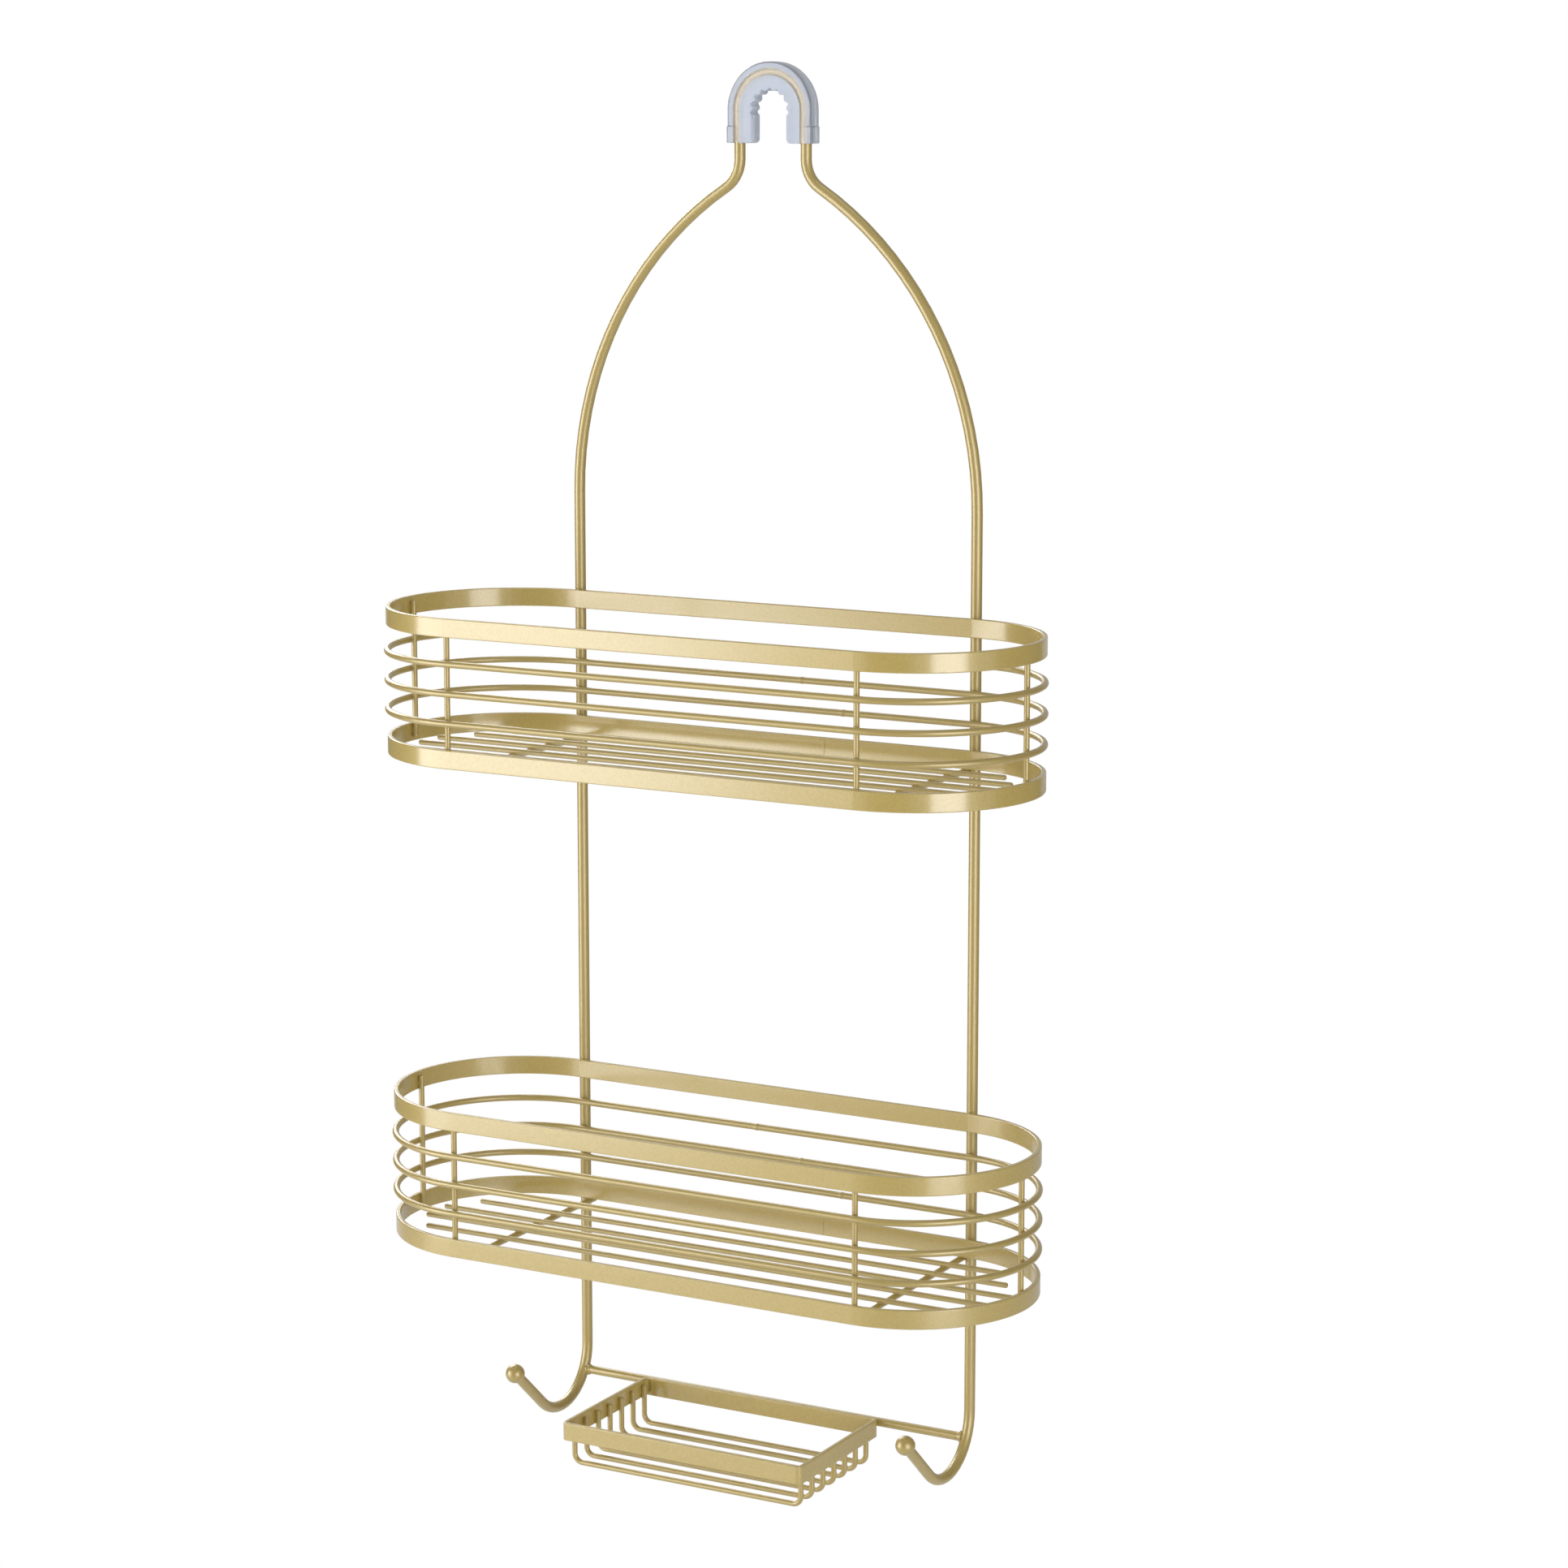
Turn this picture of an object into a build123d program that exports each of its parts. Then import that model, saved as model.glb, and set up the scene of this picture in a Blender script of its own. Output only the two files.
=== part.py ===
from build123d import *
from math import acos, cos, degrees, radians, sin, sqrt, tan
import os

# Hanging shower caddy of bent rod, wire and flat strip, with a soft grip for the shower arm.
# Millimetres: X runs right, Y back to the wall, Z up. The origin is the centre of the grip's inner arch.

# Baskets: two alike, each an obround of flat bands and wire rings
basket_length = 300.0
basket_depth = 107.0
basket_height = 63.5
basket_gap = 148.0
band_height = 8.0
band_thickness = 2.0
ring_count = 3
ring_d = 2.8
post_d = 2.4
post_inset = 2.0
cross_wire_d = 2.6
cross_wire_bend_r = 7.0
cross_wire_rise = 30.0
cross_wire_rise_run = 12.5
cross_wire_back_stub = 1.5
floor_wire_d = 2.3
floor_wire_edge = 15.5
floor_wire_tip_r = 0.8
# From each floor wire's end to the band's inner wall, in the middle, next and outer rows
floor_wire_margins = (7.5, 12.8, 12.8)

# Hanger: one rod from hook tip to hook tip, all radii to its centreline
rod_d = 4.7
saddle_bend_r = 15.85
neck_drop = 20.2
neck_bend_r = 14.0
shoulder_bend_r = 155.0
upright_above_basket = 43.1
upright_below_basket = 69.0
hook_bend_r = 23.0
hook_rise_angle = 42.0
hook_tail = 29.7

# Balls on the hook tips
ball_d = 8.4
ball_bore_clearance = 0.05
ball_bore_past_centre = 1.0

# Soft grip, a sleeve moulded round the saddle bend
grip_arch_r = 8.1
grip_outer_wall = 1.8
grip_face_wall = 1.15
grip_leg = 13.7
grip_rod_clearance = 0.1
grip_collar_height = 7.0
grip_collar_step = 0.35
grip_toe_r = 1.8
groove_r = 0.8
groove_pitch = 3.4
grooves_each_side = 4

# Cross bar and soap dish, between the hooks
bar_d = 3.8
bar_drop = 11.5
dish_length = 118.0
dish_depth = 71.0
dish_band_height = 8.0
dish_band_thickness = 1.8
dish_inner_corner_r = 0.6
dish_rise = 2.3
dish_offset_x = -4.0
dish_wire_count = 7
dish_wire_d = 2.3
dish_wire_margin = 4.3
dish_wire_drop = 19.0
dish_wire_bend_r = 3.8
dish_wire_tip_drop = 1.8
dish_wire_tip_bevel = 0.4

# Rounding along the flat strips' rolled edges
strip_edge_r = 0.45

# Room for the weld between pieces that touch
weld_gap = 0.05

# Places worked out from the sizes above
rod_r = rod_d / 2
upright_x = (basket_length - basket_depth) / 2
basket_back_y = -rod_r - weld_gap
basket_centre_y = basket_back_y - basket_depth / 2
inner_front_y = basket_back_y - basket_depth + band_thickness
shoulder_x = upright_x - shoulder_bend_r
neck_x = saddle_bend_r + neck_bend_r
bend_centres = shoulder_bend_r + neck_bend_r
shoulder_z = -neck_drop - sqrt(bend_centres**2 - (neck_x - shoulder_x) ** 2)
upper_top_z = shoulder_z - upright_above_basket
lower_top_z = upper_top_z - basket_height - basket_gap
hook_z = lower_top_z - basket_height - upright_below_basket
bar_z = hook_z - bar_drop
bar_y = sqrt(hook_bend_r**2 - bar_drop**2) - hook_bend_r
grip_depth = rod_d + 2 * grip_face_wall
grip_outer_r = saddle_bend_r + rod_r + grip_outer_wall

parts = {}


def arc(plane, radius, start, end):
    """An arc about a plane's origin, between two angles in degrees."""
    angles = [radians(a) for a in (start, (start + end) / 2, end)]
    return ThreePointArc(*(plane.from_local_coords((radius * cos(a), radius * sin(a), 0)) for a in angles))


def rod_along(path, diameter):
    """A round rod along a path of straight runs and tangent arcs."""
    wire = path.wire()
    return sweep(Plane(wire @ 0, z_dir=wire % 0) * Circle(diameter / 2), path=wire)


def obround_ring_face(length, depth, thickness):
    """A flat obround with an even rim."""
    return SlotOverall(length, depth) - SlotOverall(length - 2 * thickness, depth - 2 * thickness)


def arch_face(radius, leg):
    """A half disc on straight sides that run down by the leg's length."""
    top = Circle(radius) & Pos(0, radius / 2) * Rectangle(2 * radius, radius)
    return top + Pos(0, -leg / 2) * Rectangle(2 * radius, leg)


def rolled_strip(face, height):
    """A strip of the face's outline, standing on the face, with rounded upper and lower edges."""
    strip = extrude(face, height)
    levels = strip.edges().group_by(Axis.Z)
    return fillet(levels[0] + levels[-1], strip_edge_r)


def mirrored(shape):
    """The same shape on the left."""
    return shape.mirror(Plane.YZ)


# Hanger frame: the right leg's path from the saddle bend down to the hook tip
turn = degrees(acos((neck_x - shoulder_x) / bend_centres))
neck_bend = arc(Plane((neck_x, 0, -neck_drop), (1, 0, 0), (0, -1, 0)), neck_bend_r, 180, 180 + turn)
shoulder = arc(Plane((shoulder_x, 0, shoulder_z), (1, 0, 0), (0, -1, 0)), shoulder_bend_r, turn, 0)
hook_plane = Plane((upright_x, -hook_bend_r, hook_z), (0, 1, 0), (1, 0, 0))
hook = arc(hook_plane, hook_bend_r, 0, -90 - hook_rise_angle)
tail_direction = Vector(0, -cos(radians(hook_rise_angle)), sin(radians(hook_rise_angle)))
ball_centre = hook @ 1 + tail_direction * hook_tail
tail_end = ball_centre + tail_direction * ball_bore_past_centre
leg_edges = [
    Line((saddle_bend_r, 0, 0), neck_bend @ 0),
    neck_bend,
    shoulder,
    Line(shoulder @ 1, hook @ 0),
    hook,
    Line(hook @ 1, tail_end),
]
saddle = arc(Plane.XZ, saddle_bend_r, 0, 180)
hanger_path = Wire([*(mirrored(e) for e in reversed(leg_edges)), saddle, *leg_edges])
parts["hanger_frame"] = rod_along(hanger_path, rod_d)

# Balls, each with a blind bore that seats on the hook's tip
ball_bore = Cylinder(rod_r + ball_bore_clearance, ball_d, align=(Align.CENTER, Align.CENTER, Align.MIN))
bore_floor = Plane(tail_end, z_dir=-tail_direction)
ball = Pos(ball_centre) * Sphere(ball_d / 2) - bore_floor * ball_bore
parts["hook_ball_right"] = ball
parts["hook_ball_left"] = mirrored(ball)

# Grip: an arch with cross grooves inside, a collar on each leg and a channel for the rod
grip_face = arch_face(grip_outer_r, grip_leg) - arch_face(grip_arch_r, grip_leg)
toes = [v for v in grip_face.vertices() if abs(abs(v.X) - grip_arch_r) < 1e-6 and v.Y < -grip_leg / 2]
grip_face = fillet(toes, grip_toe_r)
collar_rim = Rectangle(2 * (grip_outer_r + grip_collar_step), grip_collar_height)
collar_rim -= Rectangle(2 * grip_outer_r - grip_outer_wall, grip_collar_height)
grip_face += Pos(0, grip_collar_height / 2 - grip_leg) * collar_rim
arch_leg = Line((grip_arch_r, -grip_leg), (grip_arch_r, 0))
arch_line = Wire([arch_leg, CenterArc((0, 0), grip_arch_r, 0, 180), mirrored(arch_leg)])
for step in range(-grooves_each_side, grooves_each_side + 1):
    along = arch_line.length / 2 + step * groove_pitch
    grip_face -= Pos(arch_line.position_at(along, PositionMode.LENGTH)) * Circle(groove_r)
grip = extrude(Plane.XZ * grip_face, grip_depth / 2, both=True)
channel_leg = Line((saddle_bend_r, 0, -grip_leg - rod_d), saddle @ 0)
channel_path = Wire([channel_leg, saddle, mirrored(channel_leg)])
parts["shower_arm_grip"] = grip - rod_along(channel_path, rod_d + 2 * grip_rod_clearance)


def make_basket(name, top_z):
    """One basket, hung with its back on the front of the uprights."""
    bottom_z = top_z - basket_height

    band = rolled_strip(obround_ring_face(basket_length, basket_depth, band_thickness), band_height)
    parts[name + "_top_band"] = Pos(0, basket_centre_y, top_z - band_height) * band
    parts[name + "_bottom_band"] = Pos(0, basket_centre_y, bottom_z) * band

    # The rings' inner side is in line with the bands', so they stand proud in front and at the ends
    proud = ring_d - band_thickness
    ring_y = basket_centre_y - proud / 2
    ring_slot = SlotOverall(basket_length + 2 * proud - ring_d, basket_depth + proud - ring_d)
    ring = rod_along(ring_slot.face().outer_wire(), ring_d)
    clear = (basket_height - 2 * band_height - ring_count * ring_d) / (ring_count + 1)
    for index in range(ring_count):
        drop = band_height + clear + ring_d / 2 + index * (clear + ring_d)
        parts[f"{name}_ring_{index + 1}"] = Pos(0, ring_y, top_z - drop) * ring

    post = Cylinder(post_d / 2, basket_height - 2 * post_inset)
    post_z = top_z - basket_height / 2
    post_front_y = inner_front_y + post_d / 2 + weld_gap
    post_end_x = basket_length / 2 - band_thickness - post_d / 2 - weld_gap
    parts[name + "_post_front_left"] = Pos(-upright_x, post_front_y, post_z) * post
    parts[name + "_post_front_right"] = Pos(upright_x, post_front_y, post_z) * post
    parts[name + "_post_left_end"] = Pos(-post_end_x, basket_centre_y, post_z) * post
    parts[name + "_post_right_end"] = Pos(post_end_x, basket_centre_y, post_z) * post

    # Cross wires pass under the back band beside the uprights and rise to the front band's inner wall
    cross_r = cross_wire_d / 2
    cross_x = upright_x - rod_r - cross_r - weld_gap
    cross_z = bottom_z - cross_r - weld_gap
    rise = radians(cross_wire_rise)
    rise_y = inner_front_y + cross_wire_rise_run
    cross_front_y = inner_front_y + weld_gap + cross_r * sin(rise)
    cross_path = FilletPolyline(
        (cross_x, cross_wire_back_stub, cross_z),
        (cross_x, rise_y, cross_z),
        (cross_x, cross_front_y, cross_z + (rise_y - cross_front_y) * tan(rise)),
        radius=cross_wire_bend_r,
    )
    cross_wire = rod_along(cross_path, cross_wire_d)
    parts[name + "_cross_wire_right"] = cross_wire
    parts[name + "_cross_wire_left"] = mirrored(cross_wire)

    # Floor wires rest on the cross wires, from the front row to the back row
    inner_r = basket_depth / 2 - band_thickness
    rows = 2 * len(floor_wire_margins)
    floor_wire_pitch = 2 * (inner_r - floor_wire_edge) / (rows - 1)
    for row in range(rows):
        offset = (row - (rows - 1) / 2) * floor_wire_pitch
        margin = floor_wire_margins[int(abs(offset) / floor_wire_pitch)]
        half_length = upright_x + sqrt(inner_r**2 - offset**2) - margin
        wire = Cylinder(floor_wire_d / 2, 2 * half_length)
        wire = fillet(wire.edges().filter_by(GeomType.CIRCLE), floor_wire_tip_r)
        place = Pos(0, basket_centre_y + offset, bottom_z + floor_wire_d / 2) * Rot(0, 90, 0)
        parts[f"{name}_floor_wire_{row + 1}"] = place * wire


make_basket("upper", upper_top_z)
make_basket("lower", lower_top_z)

# Cross bar, its ends cut to saddle the hooks
bar = Pos(0, bar_y, bar_z) * Rot(0, 90, 0) * Cylinder(bar_d / 2, 2 * upright_x)
hook_room = rod_along(Wire([leg_edges[3], hook]), rod_d + 2 * weld_gap)
parts["cross_bar"] = bar - hook_room - mirrored(hook_room)

# Soap dish: a bent strip on the front of the cross bar
dish_back_y = bar_y - bar_d / 2 - weld_gap
dish_centre_y = dish_back_y - dish_depth / 2
dish_top_z = bar_z + dish_rise
outer_corner_r = dish_inner_corner_r + dish_band_thickness
inner_length = dish_length - 2 * dish_band_thickness
inner_depth = dish_depth - 2 * dish_band_thickness
dish_face = RectangleRounded(dish_length, dish_depth, outer_corner_r)
dish_face -= RectangleRounded(inner_length, inner_depth, dish_inner_corner_r)
dish_band = rolled_strip(dish_face, dish_band_height)
parts["soap_dish_band"] = Pos(dish_offset_x, dish_centre_y, dish_top_z - dish_band_height) * dish_band

# Soap dish wires: U shapes from the left side of the strip to the right, front to back
dish_leg_x = inner_length / 2 - dish_wire_d / 2 - weld_gap
dish_tip_z = dish_top_z - dish_wire_tip_drop
dish_floor_z = dish_top_z - dish_wire_drop
dish_wire_path = FilletPolyline(
    (-dish_leg_x, 0, dish_tip_z),
    (-dish_leg_x, 0, dish_floor_z),
    (dish_leg_x, 0, dish_floor_z),
    (dish_leg_x, 0, dish_tip_z),
    radius=dish_wire_bend_r,
)
dish_wire = rod_along(dish_wire_path, dish_wire_d)
tip_edges = dish_wire.edges().group_by(Axis.Z)[-1]
dish_wire = chamfer(tip_edges, dish_wire_tip_bevel)
dish_wire_pitch = (inner_depth - 2 * dish_wire_margin) / (dish_wire_count - 1)
for index in range(dish_wire_count):
    wire_y = dish_centre_y + (index - (dish_wire_count - 1) / 2) * dish_wire_pitch
    parts[f"soap_dish_wire_{index + 1}"] = Pos(dish_offset_x, wire_y, 0) * dish_wire

os.makedirs("parts", exist_ok=True)
for node, shape in parts.items():
    export_step(shape, f"parts/{node}.step")
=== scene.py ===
from math import atan2, cos, pi, radians, sin, sqrt

import bmesh
import bpy
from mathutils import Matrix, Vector, noise


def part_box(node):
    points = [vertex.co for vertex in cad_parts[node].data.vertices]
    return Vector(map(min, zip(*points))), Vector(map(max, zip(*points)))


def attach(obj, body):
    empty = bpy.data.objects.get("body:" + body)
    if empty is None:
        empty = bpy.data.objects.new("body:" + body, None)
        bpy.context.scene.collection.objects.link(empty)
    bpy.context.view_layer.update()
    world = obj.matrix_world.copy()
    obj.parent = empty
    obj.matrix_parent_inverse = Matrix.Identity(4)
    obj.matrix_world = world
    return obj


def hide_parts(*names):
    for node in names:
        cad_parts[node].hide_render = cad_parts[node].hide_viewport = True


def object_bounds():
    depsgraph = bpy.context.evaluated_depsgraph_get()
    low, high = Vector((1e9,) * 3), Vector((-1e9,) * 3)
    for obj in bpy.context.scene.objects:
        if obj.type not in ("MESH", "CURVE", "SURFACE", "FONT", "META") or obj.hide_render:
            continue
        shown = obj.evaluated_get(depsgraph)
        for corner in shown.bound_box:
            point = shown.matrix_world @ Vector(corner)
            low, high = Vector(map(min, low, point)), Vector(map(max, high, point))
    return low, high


# Looks of the hanging shower caddy: satin gold metal, its weld beads and seams, and the milky grip.
# Lengths are millimetres in the CAD's frame and become metres where a mesh is made.
MM = 0.001

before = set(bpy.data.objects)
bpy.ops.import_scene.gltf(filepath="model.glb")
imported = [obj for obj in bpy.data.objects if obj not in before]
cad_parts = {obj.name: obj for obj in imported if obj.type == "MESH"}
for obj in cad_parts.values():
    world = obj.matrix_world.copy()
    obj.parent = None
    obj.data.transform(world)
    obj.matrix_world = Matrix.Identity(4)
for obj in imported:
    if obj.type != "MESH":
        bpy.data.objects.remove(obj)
cad_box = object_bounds()

# Camera, at the photograph's viewing angle
camera_azimuth = radians(28.9152)
camera_elevation = radians(10.224)
camera_distance = 1714.9
camera_target = Vector((10.66, -9.79, -283.47))
camera_lens = 92.275
camera_sensor = 36.0

# Gold finish: the flat strips show more grain than the round wires, and have a sharper gloss
strip_colour = Vector((0.540, 0.402, 0.104))
strip_grain = 1.0
strip_metallic = 0.14
strip_coat_roughness = 0.18
wire_colour = Vector((0.490, 0.360, 0.084))
wire_grain = 0.25
wire_metallic = 0.32
wire_coat_roughness = 0.33
mottle_spread = Vector((0.035, 0.030, 0.014))
gold_roughness = 0.48
gold_roughness_spread = 0.06

# Grip finish: clouding of its tint, its roughness, and its transmission in the milky walls and the window
grip_clouding = 0.12
grip_roughness = (0.08, 0.14)
grip_transmission = (0.30, 1.0)

# Span that the values of a noise texture mostly lie in
noise_span = (0.3, 0.7)

# Grip: radii of its arch, of the rod's bend and of the channel that the rod lies in
grip_arch_r = 8.1
grip_rod_bend_r = 15.85
grip_channel_r = 2.45

# Grip: roundings of its section, of its legs' ends and of their toes on the inside
grip_corner_r = 0.45
grip_end_r = 0.5
grip_toe_r = 1.8

# Grip: the collar at each leg's end, which also stands out from the front outside the rod
grip_collar_height = 7.0
grip_collar_ramp = 0.15
grip_collar_face_step = 0.15
grip_collar_face_zone = (15.4, 16.2)

# Grip: grooves along the inner wall
groove_depth = 1.0
groove_pitch = 3.4
groove_sharpness = 1.4
grooves_each_side = 4

# Grip: the clear window over the rod, dark contours of painted shade along its outer edges and its collars'
# steps, and the channel wall's painted highlight
window_face_inset = (0.8, 0.4)
window_half_width = (1.0, 1.8)
contour_inset = (0.9, 0.3)
contour_painted_shade = 0.12
collar_line_width = (0.1, 0.5)
collar_line_zone = (16.4, 17.0)
collar_line_share = 0.5
# Grip: where the channel wall's painted highlight of the rod rises, as the sine of the angle round the rod
film_painted_highlight_zone = (0.55, 1.0)

# Edges bent by more than these angles, in degrees, look sharp: some on the grip and none on the welds
grip_sharp_angle = 40
weld_sharp_angle = 180

# Flat strips and wires
band_thickness = 2.0
dish_band_thickness = 1.8
ring_count = 3
floor_wire_count = 6
dish_wire_count = 7
cross_wire_r = 1.3
cross_tip_drop = 2.0

# Butt seams: places along the back of the rings and the bottom bands, and from the dish's left end
ring_seams = (-6.0, 16.0, 36.0)
ring_seam_sink = 0.02
ring_seam_swell = 0.16
ring_seam_half_length = 1.6
ring_seam_depth = 0.4
band_seam = 27.0
dish_seam_inset = 4.2

# Weld beads, as half sizes along X, Y and Z
ring_upright_bead = (1.7, 0.75, 1.15)
ring_post_bead = (0.95, 0.5, 1.05)
ring_end_bead = (0.5, 0.95, 1.05)
band_upright_bead = (1.25, 0.5, 3.1)
band_post_bead = (0.8, 0.4, 2.3)
band_end_bead = (0.4, 0.8, 2.3)
band_seam_bead = (0.6, 0.08, 3.4)
floor_wire_bead = (1.0, 1.0, 0.55)
cross_back_bead = (1.0, 1.0, 0.45)
cross_upright_bead = (0.5, 1.2, 1.2)
cross_front_bead = (1.1, 0.5, 0.9)
dish_wire_bead = (0.4, 0.8, 2.5)
dish_bar_bead = (3.5, 0.45, 0.9)
dish_seam_bead = (0.8, 0.3, 3.3)
bar_end_bead = (1.1, 1.3, 0.9)
bead_unevenness = 0.16
bead_skin_scale = 1.6
bead_skin_shift = 0.37

# Cross bar: its welds to the dish, and the weld collar and beads at each of its ends
dish_bar_places = (-50.0, -17.0, 17.0, 50.0)
bar_collar_wide_r = 2.35
bar_collar_narrow_r = 1.93
bar_collar_reach = 2.2
bar_collar_inner_r = 1.6
bar_collar_sharpness = 2.2
bar_collar_x = 94.6
bar_bead_x = 93.9
bar_bead_rise = 1.7

# Stage: the floor lies well below, because the caddy hangs, and shows a shadow only near the object
floor_gap = 430.0
floor_size = 8000.0
floor_shadow_reach = (300.0, 900.0)
floor_grey = 0.80
floor_shadow_grey = 0.32
floor_shadow_glow = 0.74
white_level = 1.0

# Surround: its light at the horizon and overhead, and the upward parts of a direction that it dims between
surround_level = 0.54
overhead_level = 0.29
dimming_span = (0.1, 0.7)

# Softboxes: azimuth and elevation in degrees, distance, width, height, and power in watts
softboxes = {
    "softbox_left": (-45, 0, 1900, 1200, 1260, 16.5),
    "softbox_right": (57, 0, 2000, 1050, 1300, 14.5),
    "softbox_top": (0, 82, 1500, 900, 900, 2.5),
    "softbox_back": (236, 25, 2200, 1300, 1100, 24.0),
}

# Dark cards between the softboxes: azimuth and elevation in degrees, distance, width and height
cards = {
    "card_front": (7, -2, 2100, 1500, 1800),
    "card_left": (-94, -2, 2000, 2400, 2400),
    "card_right": (135, -2, 2300, 3200, 2400),
}


def box_mm(node):
    """A node's lowest and highest corners, in millimetres."""
    low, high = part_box(node)
    return low / MM, high / MM


def smoothstep(low, high, value):
    """0 below low, 1 above high, and a smooth rise between them."""
    t = min(max((value - low) / (high - low), 0.0), 1.0)
    return t * t * (3 - 2 * t)


# Materials


def new_material(name):
    """A material with its node tree and the principled shader in it."""
    material = bpy.data.materials.new(name)
    material.use_nodes = True
    tree = material.node_tree
    return material, tree, tree.nodes["Principled BSDF"]


def noise_node(tree, coords, scale, detail, roughness=0.5):
    node = tree.nodes.new("ShaderNodeTexNoise")
    node.inputs["Scale"].default_value = scale
    node.inputs["Detail"].default_value = detail
    node.inputs["Roughness"].default_value = roughness
    tree.links.new(coords, node.inputs["Vector"])
    return node


def ramp_node(tree, factor, stops):
    """A colour ramp through (place, colour) stops."""
    ramp = tree.nodes.new("ShaderNodeValToRGB")
    elements = ramp.color_ramp.elements
    while len(elements) < len(stops):
        elements.new(0.5)
    for element, (place, colour) in zip(elements, stops):
        element.position = place
        element.color = (*colour, 1.0)
    tree.links.new(factor, ramp.inputs["Fac"])
    return ramp


def range_node(tree, value, low, high, to_low, to_high):
    node = tree.nodes.new("ShaderNodeMapRange")
    for name, number in zip(("From Min", "From Max", "To Min", "To Max"), (low, high, to_low, to_high)):
        node.inputs[name].default_value = number
    tree.links.new(value, node.inputs["Value"])
    return node


def bump_node(tree, height, strength, distance):
    node = tree.nodes.new("ShaderNodeBump")
    node.inputs["Strength"].default_value = strength
    node.inputs["Distance"].default_value = distance
    tree.links.new(height, node.inputs["Height"])
    return node


def gold_paint(name, middle, grain_share, metallic, coat_roughness):
    """Satin champagne gold: mottled colour, uneven gloss and an orange-peel grain, under a clear coat."""
    material, tree, shader = new_material(name)
    coords = tree.nodes.new("ShaderNodeTexCoord").outputs["Object"]
    mottle = noise_node(tree, coords, scale=1100.0, detail=3.0)
    flake = noise_node(tree, coords, scale=2800.0, detail=2.0, roughness=0.6)

    spread = mottle_spread * grain_share
    stops = ((0.30, middle - spread), (0.50, middle), (0.72, middle + spread))
    colour = ramp_node(tree, mottle.outputs["Fac"], stops)
    tree.links.new(colour.outputs["Color"], shader.inputs["Base Color"])
    smoother = gold_roughness - gold_roughness_spread * grain_share
    rougher = gold_roughness + gold_roughness_spread * grain_share
    gloss = range_node(tree, flake.outputs["Fac"], *noise_span, smoother, rougher)
    tree.links.new(gloss.outputs["Result"], shader.inputs["Roughness"])

    peel = bump_node(tree, mottle.outputs["Fac"], strength=0.12 * grain_share, distance=0.00012)
    grain = bump_node(tree, flake.outputs["Fac"], strength=0.22 * grain_share, distance=0.00005)
    tree.links.new(peel.outputs["Normal"], grain.inputs["Normal"])
    tree.links.new(grain.outputs["Normal"], shader.inputs["Normal"])

    shader.inputs["Metallic"].default_value = metallic
    shader.inputs["Specular IOR Level"].default_value = 0.8
    shader.inputs["Specular Tint"].default_value = (1.0, 0.97, 0.92, 1.0)
    shader.inputs["Coat Weight"].default_value = 1.0
    shader.inputs["Coat IOR"].default_value = 1.95
    shader.inputs["Coat Roughness"].default_value = coat_roughness
    return material


def milky_plastic():
    """Soft milky plastic, see-through where the grip's clear value is 1, and darker where it is below 0,
    which is painted shade along its edges and collar steps.
    """
    material, tree, shader = new_material("milky_grip")
    coords = tree.nodes.new("ShaderNodeTexCoord").outputs["Object"]
    cloud = noise_node(tree, coords, scale=160.0, detail=3.0)
    skin = noise_node(tree, coords, scale=900.0, detail=2.0)

    clear = tree.nodes.new("ShaderNodeAttribute")
    clear.attribute_name = "clear"
    tint = tree.nodes.new("ShaderNodeMath")
    tint.operation = "MULTIPLY_ADD"
    tint.inputs[1].default_value = grip_clouding
    tree.links.new(cloud.outputs["Fac"], tint.inputs[0])
    tree.links.new(clear.outputs["Fac"], tint.inputs[2])
    # The darkest stop is painted shade, for the dark contours along the grip's edges and collar steps
    stops = (
        (0.0, (0.36, 0.38, 0.43)),
        (0.03, (0.58, 0.64, 0.76)),
        (0.10, (0.66, 0.71, 0.81)),
        (0.95, (0.98, 0.94, 0.87)),
    )
    colour = ramp_node(tree, tint.outputs["Value"], stops)
    tree.links.new(colour.outputs["Color"], shader.inputs["Base Color"])
    gloss = range_node(tree, skin.outputs["Fac"], *noise_span, *grip_roughness)
    tree.links.new(gloss.outputs["Result"], shader.inputs["Roughness"])
    bump = bump_node(tree, skin.outputs["Fac"], strength=0.2, distance=0.0001)
    tree.links.new(bump.outputs["Normal"], shader.inputs["Normal"])

    through = range_node(tree, clear.outputs["Fac"], 0.0, 1.0, *grip_transmission)
    tree.links.new(through.outputs["Result"], shader.inputs["Transmission Weight"])
    shader.inputs["IOR"].default_value = 1.45
    return material


def film_painted_rod_highlight():
    """The grip's channel wall, coloured as the rod seen through the plastic: painted shade towards its sides
    and a painted highlight along the rod's middle.
    """
    material, tree, shader = new_material("film_painted_rod_highlight")
    middle = tree.nodes.new("ShaderNodeAttribute")
    middle.attribute_name = "clear"
    # Painted shade at the sides, rising to a painted highlight of the rod along the middle
    stops = ((0.0, (0.42, 0.33, 0.22)), (0.5, (0.58, 0.48, 0.35)), (1.0, (0.86, 0.77, 0.61)))
    colour = ramp_node(tree, middle.outputs["Fac"], stops)
    tree.links.new(colour.outputs["Color"], shader.inputs["Base Color"])
    shader.inputs["Roughness"].default_value = 0.35
    return material


strip_gold = gold_paint("strip_gold", strip_colour, strip_grain, strip_metallic, strip_coat_roughness)
wire_gold = gold_paint("wire_gold", wire_colour, wire_grain, wire_metallic, wire_coat_roughness)
milky = milky_plastic()
film = film_painted_rod_highlight()
for name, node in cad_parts.items():
    node.data.materials.clear()
    node.data.materials.append(strip_gold if name.endswith("_band") else wire_gold)


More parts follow.
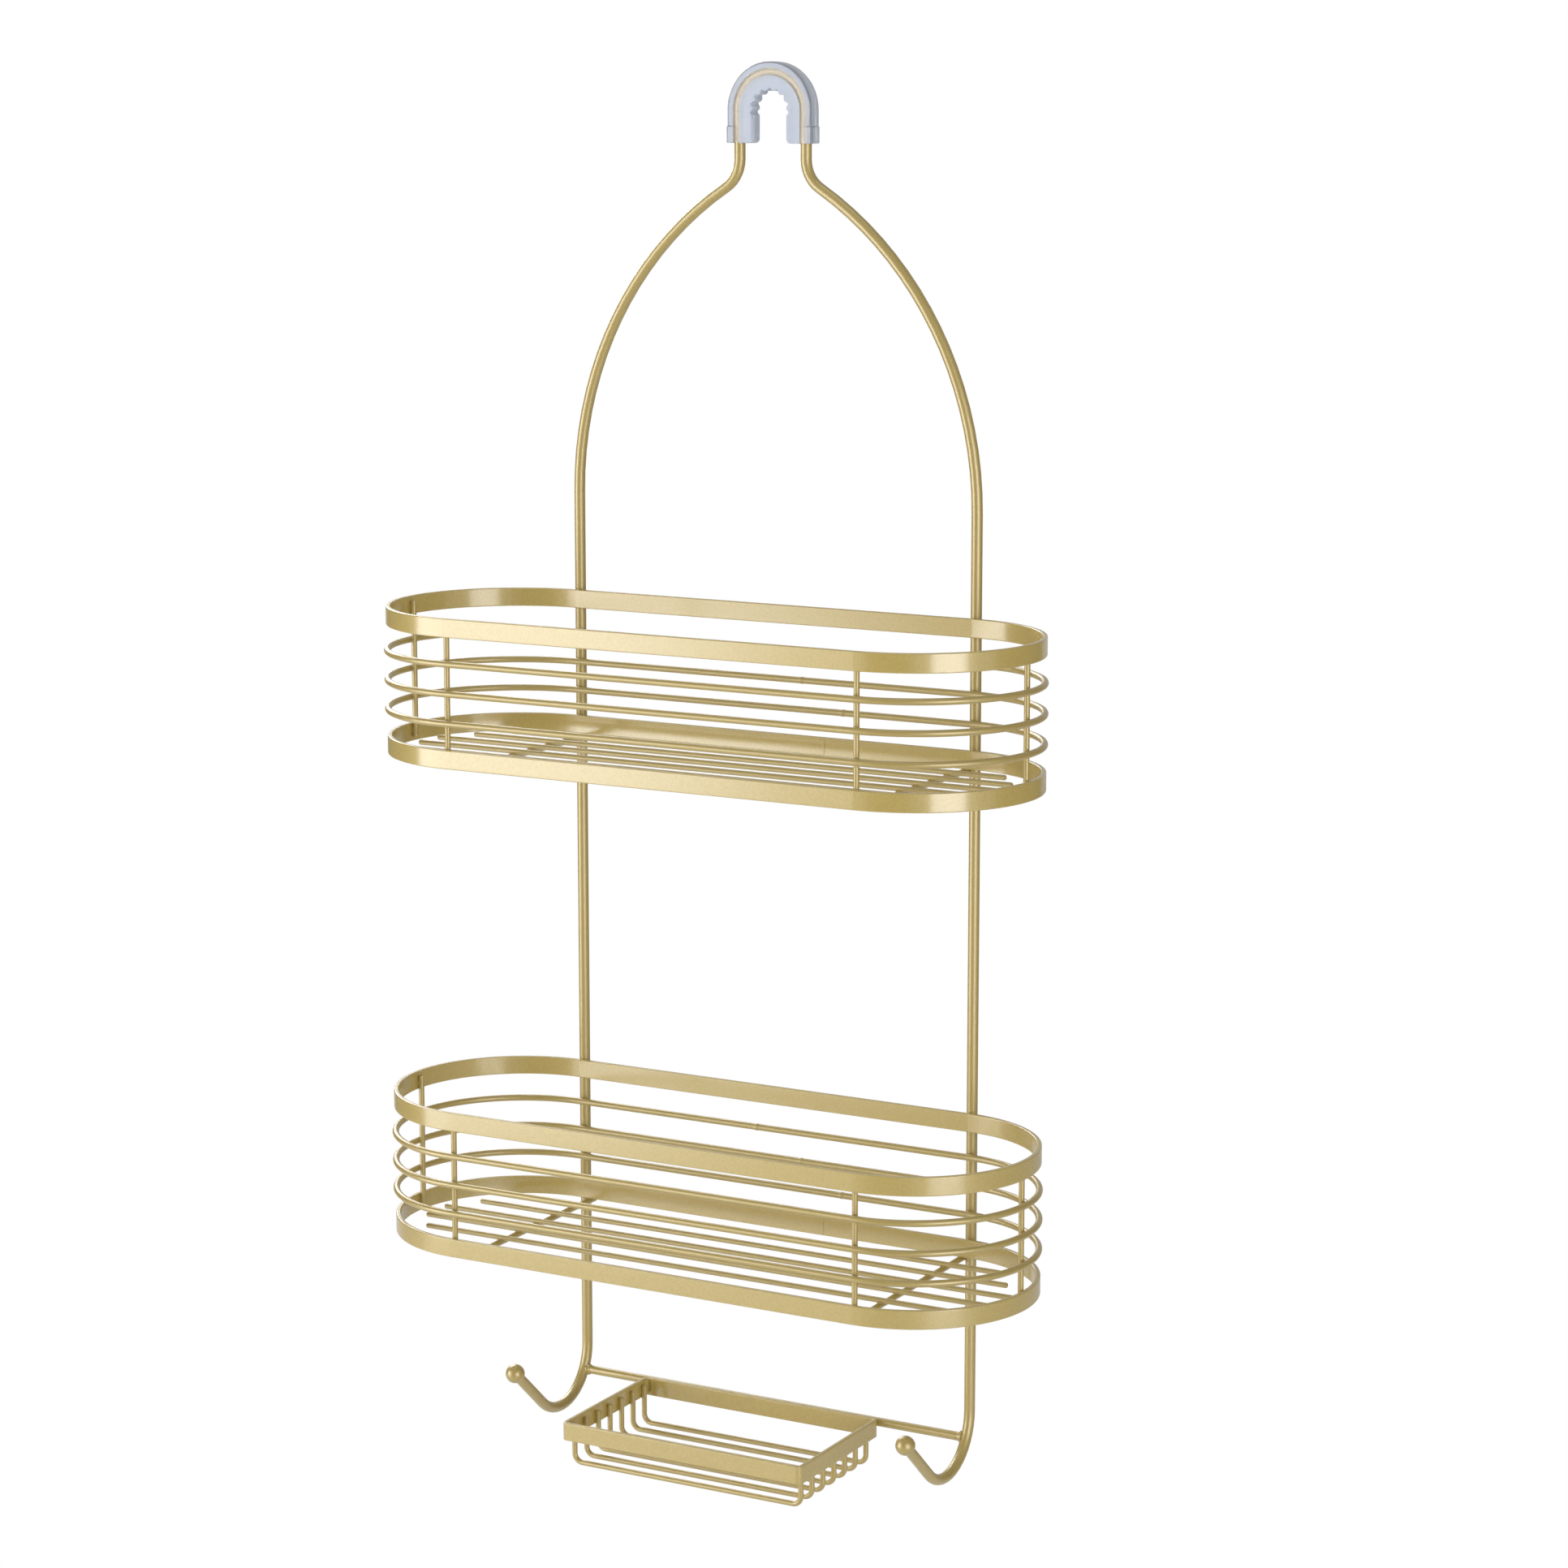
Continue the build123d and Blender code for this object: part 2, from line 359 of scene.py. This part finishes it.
def add_piece(name, bm, material, sharp_angle):
    """A mesh object made from millimetre geometry, riding on the caddy."""
    bmesh.ops.scale(bm, vec=(MM, MM, MM), verts=bm.verts)
    bmesh.ops.recalc_face_normals(bm, faces=bm.faces)
    mesh = bpy.data.meshes.new(name)
    bm.to_mesh(mesh)
    bm.free()
    mesh.polygons.foreach_set("use_smooth", [True] * len(mesh.polygons))
    mesh.set_sharp_from_angle(angle=radians(sharp_angle))
    mesh.materials.append(material)
    piece = bpy.data.objects.new(name, mesh)
    bpy.context.scene.collection.objects.link(piece)
    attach(piece, "root")
    return piece


# Grip


def section_outline(inner, outer, half_depth, corner):
    """Points round the sleeve's section, as (radius from the arch's centre, depth)."""
    corner_steps = 5
    side_steps = 24
    points = []
    flat_depth = half_depth - corner
    quarter_centres = (
        (outer - corner, flat_depth),
        (inner + corner, flat_depth),
        (inner + corner, -flat_depth),
        (outer - corner, -flat_depth),
    )
    for turn, (centre_r, centre_y) in enumerate(quarter_centres):
        for step in range(corner_steps + 1):
            angle = (turn + step / corner_steps) * pi / 2
            points.append((centre_r + corner * cos(angle), centre_y + corner * sin(angle)))
    outline = []
    for index, start in enumerate(points):
        end = points[(index + 1) % len(points)]
        steps = side_steps if index % (corner_steps + 1) == corner_steps else 1
        for step in range(steps):
            share = step / steps
            outline.append((start[0] + (end[0] - start[0]) * share, start[1] + (end[1] - start[1]) * share))
    return outline


def groove(along):
    """How far the inner wall steps back at a place along it, measured from the top of the arch."""
    if abs(along) > (grooves_each_side + 0.5) * groove_pitch:
        return 0.0
    return groove_depth * (0.5 + 0.5 * cos(2 * pi * along / groove_pitch)) ** groove_sharpness


def end_rounding(to_end, radius):
    """How far a wall draws in at a place near the leg's end."""
    if to_end >= radius:
        return 0.0
    return radius - sqrt(radius**2 - (radius - to_end) ** 2)


def grip_places(reach):
    """Places along the sleeve from end to end, close together at the grooves and at the ends."""
    groove_step = 0.2
    end_step = 0.05
    leg_steps = 30
    groove_reach = (grooves_each_side + 1) * groove_pitch
    toe_start = reach - grip_toe_r
    places = [groove_step * i for i in range(int(groove_reach / groove_step) + 1)]
    places += [groove_reach + i * (toe_start - groove_reach) / leg_steps for i in range(1, leg_steps)]
    places += [toe_start + end_step * i for i in range(int(grip_toe_r / end_step) + 1)]
    places = sorted({round(place, 4) for place in places})
    return [-place for place in reversed(places) if place > 0] + places


def grip_clearness_and_painted_shade(radius, y, depth, outer, to_end):
    """1 in the clear window over the rod, 0 in the milky walls and below 0 along the contours, where dark
    shade is painted.
    """
    inset, full = window_face_inset
    on_face = smoothstep(depth - inset, depth - full, abs(y))
    window = on_face * (1 - smoothstep(*window_half_width, abs(radius - grip_rod_bend_r)))
    # Painted shade: dark contours along the outer edges of the faces and along the collars' steps
    inset, full = contour_inset
    edge = smoothstep(depth - inset, depth - full, abs(y)) * smoothstep(outer - inset, outer - full, radius)
    step_line = 1 - smoothstep(*collar_line_width, abs(to_end - grip_collar_height))
    collar_line = collar_line_share * step_line * smoothstep(*collar_line_zone, radius)
    return window - contour_painted_shade * max(edge, collar_line)


def make_grip():
    """The sleeve over the rod's U bend: an outside with grooves and collars, and the channel inside it."""
    low, high = box_mm("shower_arm_grip")
    outer_r, half_depth, leg = high.z, high.y, -low.z
    collar_step = high.x - outer_r
    quarter = grip_arch_r * pi / 2
    collar_rise = (grip_collar_height - grip_collar_ramp, grip_collar_height + grip_collar_ramp)

    bm = bmesh.new()
    clear = bm.verts.layers.float.new("clear")
    loops = []
    for along in grip_places(quarter + leg):
        down = max(0.0, abs(along) - quarter)
        turn = max(-pi / 2, min(pi / 2, along / grip_arch_r))
        to_end = leg - down
        collar = 1 - smoothstep(*collar_rise, to_end)
        inner = grip_arch_r + max(groove(along), end_rounding(to_end, grip_toe_r))
        outer = outer_r + collar_step * collar - end_rounding(to_end, grip_end_r)
        depth = half_depth - end_rounding(to_end, grip_end_r)
        outside, channel = [], []
        for radius, y in section_outline(inner, outer, depth, grip_corner_r):
            angle = atan2(y, radius - grip_rod_bend_r)
            if y < 0:
                face_step = grip_collar_face_step * collar * smoothstep(*grip_collar_face_zone, radius)
                y -= face_step * min(1.0, -y / depth)
            outside.append(bm.verts.new((radius * sin(turn), y, radius * cos(turn) - down)))
            outside[-1][clear] = grip_clearness_and_painted_shade(radius, y, depth, outer, to_end)
            rod_r = grip_rod_bend_r + grip_channel_r * cos(angle)
            rod_y = grip_channel_r * sin(angle)
            channel.append(bm.verts.new((rod_r * sin(turn), rod_y, rod_r * cos(turn) - down)))
            # The channel wall carries a painted highlight along the rod's middle
            channel[-1][clear] = smoothstep(*film_painted_highlight_zone, abs(sin(angle)))
        loops.append((outside, channel))
    count = len(loops[0][0])
    for (outside_a, channel_a), (outside_b, channel_b) in zip(loops, loops[1:]):
        for i in range(count):
            j = (i + 1) % count
            bm.faces.new((outside_a[i], outside_a[j], outside_b[j], outside_b[i]))
            wall = bm.faces.new((channel_a[j], channel_a[i], channel_b[i], channel_b[j]))
            wall.material_index = 1
    for outside, channel in (loops[0], loops[-1]):
        for i in range(count):
            j = (i + 1) % count
            bm.faces.new((outside[i], outside[j], channel[j], channel[i]))
    grip = add_piece("grip_sleeve", bm, milky, grip_sharp_angle)
    grip.data.materials.append(film)
    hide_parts("shower_arm_grip")


make_grip()


# Welds and seams


def add_bead(bm, centre, size):
    """A lump of weld about a point: half its size along X, Y and Z, with an uneven skin."""
    made = bmesh.ops.create_icosphere(bm, subdivisions=3, radius=1.0)
    for vert in made["verts"]:
        outward = vert.co.normalized()
        skin = noise.noise(outward * bead_skin_scale + centre * bead_skin_shift)
        swell = 1 + bead_unevenness * skin
        vert.co = centre + Vector(o * s for o, s in zip(outward, size)) * swell


def add_collar(bm, centre, axis, profile, segments=40):
    """A closed ring turned about an axis from a loop of (distance along it, radius)."""
    axis = axis.normalized()
    side = axis.orthogonal().normalized()
    other = axis.cross(side)
    rows = []
    for step in range(segments):
        angle = 2 * pi * step / segments
        outward = side * cos(angle) + other * sin(angle)
        rows.append([bm.verts.new(centre + axis * along + outward * radius) for along, radius in profile])
    for row, next_row in zip(rows, rows[1:] + rows[:1]):
        for i in range(len(profile)):
            j = (i + 1) % len(profile)
            bm.faces.new((row[i], row[j], next_row[j], next_row[i]))


def fillet_profile(wide, narrow, reach, inner, steps=6):
    """A concave fillet from one radius to a smaller one, closed along an inner radius."""
    points = [(0.0, inner), (0.0, wide)]
    for step in range(1, steps + 1):
        share = step / steps
        points.append((reach * share, narrow + (wide - narrow) * (1 - share) ** bar_collar_sharpness))
    points.append((reach, inner))
    return points


def hump_profile(radius, swell, half_length, inner, steps=8):
    """A low hump on a wire, closed along an inner radius."""
    points = [(-half_length, inner)]
    for step in range(steps + 1):
        share = 2 * step / steps - 1
        points.append((half_length * share, radius + swell * cos(share * pi / 2) ** 2))
    points.append((half_length, inner))
    return points


def basket_welds(name):
    """A basket's weld beads at its uprights, posts and cross wires, and the seams along its back."""
    bm = bmesh.new()
    bands = [box_mm(f"{name}_{part}_band") for part in ("top", "bottom")]
    rings = [box_mm(f"{name}_ring_{index}") for index in range(1, ring_count + 1)]
    floor_wires = [box_mm(f"{name}_floor_wire_{row}") for row in range(1, floor_wire_count + 1)]
    bottom_low, bottom_high = bands[1]
    for side, end in ((-1, "left"), (1, "right")):
        front_low, front_high = box_mm(f"{name}_post_front_{end}")
        end_low, end_high = box_mm(f"{name}_post_{end}_end")
        cross_low, cross_high = box_mm(f"{name}_cross_wire_{end}")
        rod_x = (front_low.x + front_high.x) / 2
        end_x = end_high.x if side > 0 else end_low.x
        end_y = (end_low.y + end_high.y) / 2
        cross_x = (cross_low.x + cross_high.x) / 2
        cross_side = cross_high.x if side > 0 else cross_low.x
        for low, high in rings:
            level = (low.z + high.z) / 2
            add_bead(bm, Vector((rod_x, high.y, level)), ring_upright_bead)
            add_bead(bm, Vector((rod_x, front_low.y, level)), ring_post_bead)
            add_bead(bm, Vector((end_x, end_y, level)), ring_end_bead)
        for low, high in bands:
            add_bead(bm, Vector((rod_x, high.y, (low.z + high.z) / 2)), band_upright_bead)
            level = (max(low.z, front_low.z) + min(high.z, front_high.z)) / 2
            add_bead(bm, Vector((rod_x, front_low.y, level)), band_post_bead)
            add_bead(bm, Vector((end_x, end_y, level)), band_end_bead)
        for low, high in floor_wires:
            add_bead(bm, Vector((cross_x, (low.y + high.y) / 2, low.z)), floor_wire_bead)
        add_bead(bm, Vector((cross_x, bottom_high.y - band_thickness / 2, bottom_low.z)), cross_back_bead)
        add_bead(bm, Vector((cross_side, 0.0, cross_low.z + cross_wire_r)), cross_upright_bead)
        add_bead(bm, Vector((cross_x, cross_low.y, cross_high.z - cross_tip_drop)), cross_front_bead)
    for x, (low, high) in zip(ring_seams, rings):
        wire_r = (high.z - low.z) / 2
        inner_r = wire_r - ring_seam_depth
        seam = hump_profile(wire_r - ring_seam_sink, ring_seam_swell, ring_seam_half_length, inner_r)
        add_collar(bm, Vector((x, high.y - wire_r, low.z + wire_r)), Vector((1, 0, 0)), seam)
    bottom_z = (bottom_low.z + bottom_high.z) / 2
    add_bead(bm, Vector((band_seam, bottom_high.y - band_thickness, bottom_z)), band_seam_bead)
    add_piece(f"{name}_basket_welds", bm, wire_gold, weld_sharp_angle)


def dish_welds():
    """The soap dish's weld beads and seam, and the welds at the cross bar's ends."""
    bm = bmesh.new()
    band_low, band_high = box_mm("soap_dish_band")
    bar_low, bar_high = box_mm("cross_bar")
    bar_y = (bar_low.y + bar_high.y) / 2
    bar_z = (bar_low.z + bar_high.z) / 2
    for index in range(1, dish_wire_count + 1):
        low, high = box_mm(f"soap_dish_wire_{index}")
        level = (band_low.z + high.z) / 2
        for edge in (low.x, high.x):
            add_bead(bm, Vector((edge, (low.y + high.y) / 2, level)), dish_wire_bead)
    dish_x = (band_low.x + band_high.x) / 2
    for x in dish_bar_places:
        add_bead(bm, Vector((dish_x + x, band_high.y, bar_z)), dish_bar_bead)
    seam_y = band_high.y - dish_band_thickness
    seam_z = (band_low.z + band_high.z) / 2
    add_bead(bm, Vector((band_low.x + dish_seam_inset, seam_y, seam_z)), dish_seam_bead)
    collar = fillet_profile(bar_collar_wide_r, bar_collar_narrow_r, bar_collar_reach, bar_collar_inner_r)
    for side in (-1, 1):
        add_collar(bm, Vector((side * bar_collar_x, bar_y, bar_z)), Vector((-side, 0, 0)), collar)
        for rise in (-bar_bead_rise, bar_bead_rise):
            add_bead(bm, Vector((side * bar_bead_x, bar_y, bar_z + rise)), bar_end_bead)
    add_piece("soap_dish_welds", bm, wire_gold, weld_sharp_angle)


for basket in ("upper", "lower"):
    basket_welds(basket)
dish_welds()


# Stage: a pale floor, soft lamps with dark cards between them, and a white surround


def direction(azimuth, elevation):
    """From the object towards a place round it; azimuth 0 is in front, 90 on the right."""
    return Vector((sin(azimuth) * cos(elevation), -cos(azimuth) * cos(elevation), sin(elevation)))


def face_target(item, towards, distance):
    """Place a lamp, a card or the camera round the object and turn it to the camera's target."""
    item.location = (camera_target + towards * distance) * MM
    item.rotation_euler = (-towards).to_track_quat("-Z", "Y").to_euler()


def add_sheet(name, width, height, material):
    """A flat rectangle in its own XY plane."""
    bm = bmesh.new()
    half_x = width / 2 * MM
    half_y = height / 2 * MM
    corners = ((-1, -1), (1, -1), (1, 1), (-1, 1))
    bm.faces.new([bm.verts.new((x * half_x, y * half_y, 0.0)) for x, y in corners])
    mesh = bpy.data.meshes.new(name)
    bm.to_mesh(mesh)
    bm.free()
    mesh.materials.append(material)
    sheet = bpy.data.objects.new(name, mesh)
    bpy.context.scene.collection.objects.link(sheet)
    return sheet


def seen_directly(tree):
    """1 for rays that show the surround itself, to the camera or through the grip."""
    path = tree.nodes.new("ShaderNodeLightPath")
    either = tree.nodes.new("ShaderNodeMath")
    either.operation = "MAXIMUM"
    tree.links.new(path.outputs["Is Camera Ray"], either.inputs[0])
    tree.links.new(path.outputs["Is Transmission Ray"], either.inputs[1])
    return either.outputs["Value"]


def mix_shader(tree, factor, first, second):
    node = tree.nodes.new("ShaderNodeMixShader")
    tree.links.new(factor, node.inputs["Fac"])
    tree.links.new(first, node.inputs[1])
    tree.links.new(second, node.inputs[2])
    return node.outputs["Shader"]


def diffuse_node(tree, grey):
    node = tree.nodes.new("ShaderNodeBsdfDiffuse")
    node.inputs["Color"].default_value = (grey, grey, grey, 1.0)
    return node.outputs["BSDF"]


def glow_node(tree, strength):
    node = tree.nodes.new("ShaderNodeEmission")
    node.inputs["Strength"].default_value = strength
    return node.outputs["Emission"]


def floor_paint():
    """Pale paint, which the camera sees as white with the object's shadow on it near the object."""
    material = bpy.data.materials.new("pale_floor")
    material.use_nodes = True
    tree = material.node_tree
    tree.nodes.clear()
    near = tree.nodes.new("ShaderNodeAddShader")
    tree.links.new(diffuse_node(tree, floor_shadow_grey), near.inputs[0])
    tree.links.new(glow_node(tree, floor_shadow_glow), near.inputs[1])
    distance = tree.nodes.new("ShaderNodeVectorMath")
    distance.operation = "LENGTH"
    tree.links.new(tree.nodes.new("ShaderNodeTexCoord").outputs["Object"], distance.inputs[0])
    inner, outer = floor_shadow_reach
    fade = range_node(tree, distance.outputs["Value"], inner * MM, outer * MM, 0.0, 1.0)
    fade.interpolation_type = "SMOOTHSTEP"
    shown = mix_shader(tree, fade.outputs["Result"], near.outputs["Shader"], glow_node(tree, white_level))
    surface = mix_shader(tree, seen_directly(tree), diffuse_node(tree, floor_grey), shown)
    output = tree.nodes.new("ShaderNodeOutputMaterial")
    tree.links.new(surface, output.inputs["Surface"])
    return material


def make_floor():
    floor = add_sheet("floor", floor_size, floor_size, floor_paint())
    floor.location.z = cad_box[0].z - floor_gap * MM


def make_world():
    """White where it is seen directly, and otherwise a soft light that is dimmer overhead."""
    world = bpy.data.worlds.new("studio")
    bpy.context.scene.world = world
    world.use_nodes = True
    tree = world.node_tree
    tree.nodes.clear()
    ambient = tree.nodes.new("ShaderNodeBackground")
    ambient.inputs["Color"].default_value = (1.0, 1.0, 1.0, 1.0)
    towards = tree.nodes.new("ShaderNodeSeparateXYZ")
    tree.links.new(tree.nodes.new("ShaderNodeTexCoord").outputs["Generated"], towards.inputs["Vector"])
    level = range_node(tree, towards.outputs["Z"], *dimming_span, surround_level, overhead_level)
    tree.links.new(level.outputs["Result"], ambient.inputs["Strength"])
    white = tree.nodes.new("ShaderNodeBackground")
    white.inputs["Color"].default_value = (1.0, 1.0, 1.0, 1.0)
    white.inputs["Strength"].default_value = white_level
    lighting = ambient.outputs["Background"]
    shown = white.outputs["Background"]
    surface = mix_shader(tree, seen_directly(tree), lighting, shown)
    output = tree.nodes.new("ShaderNodeOutputWorld")
    tree.links.new(surface, output.inputs["Surface"])


def card_paint():
    material, _, shader = new_material("dark_card")
    shader.inputs["Base Color"].default_value = (0.30, 0.24, 0.15, 1.0)
    shader.inputs["Roughness"].default_value = 0.9
    return material


def add_softbox(name, azimuth, elevation, distance, width, height, power):
    data = bpy.data.lights.new(name, "AREA")
    data.shape = "RECTANGLE"
    data.size = width * MM
    data.size_y = height * MM
    data.energy = power
    lamp = bpy.data.objects.new(name, data)
    face_target(lamp, direction(radians(azimuth), radians(elevation)), distance)
    bpy.context.scene.collection.objects.link(lamp)


def add_card(name, material, azimuth, elevation, distance, width, height):
    """A dark card beside the lamps, which shows only in reflections."""
    card = add_sheet(name, width, height, material)
    face_target(card, direction(radians(azimuth), radians(elevation)), distance)
    card.visible_camera = False
    card.visible_diffuse = False
    card.visible_shadow = False
    card.visible_transmission = False


make_floor()
make_world()
for name, numbers in softboxes.items():
    add_softbox(name, *numbers)
dark_card = card_paint()
for name, numbers in cards.items():
    add_card(name, dark_card, *numbers)

camera_data = bpy.data.cameras.new("camera")
camera_data.lens = camera_lens
camera_data.sensor_width = camera_sensor
camera = bpy.data.objects.new("camera", camera_data)
face_target(camera, direction(camera_azimuth, camera_elevation), camera_distance)
bpy.context.scene.collection.objects.link(camera)
bpy.context.scene.camera = camera
bpy.context.scene.view_settings.view_transform = "Standard"
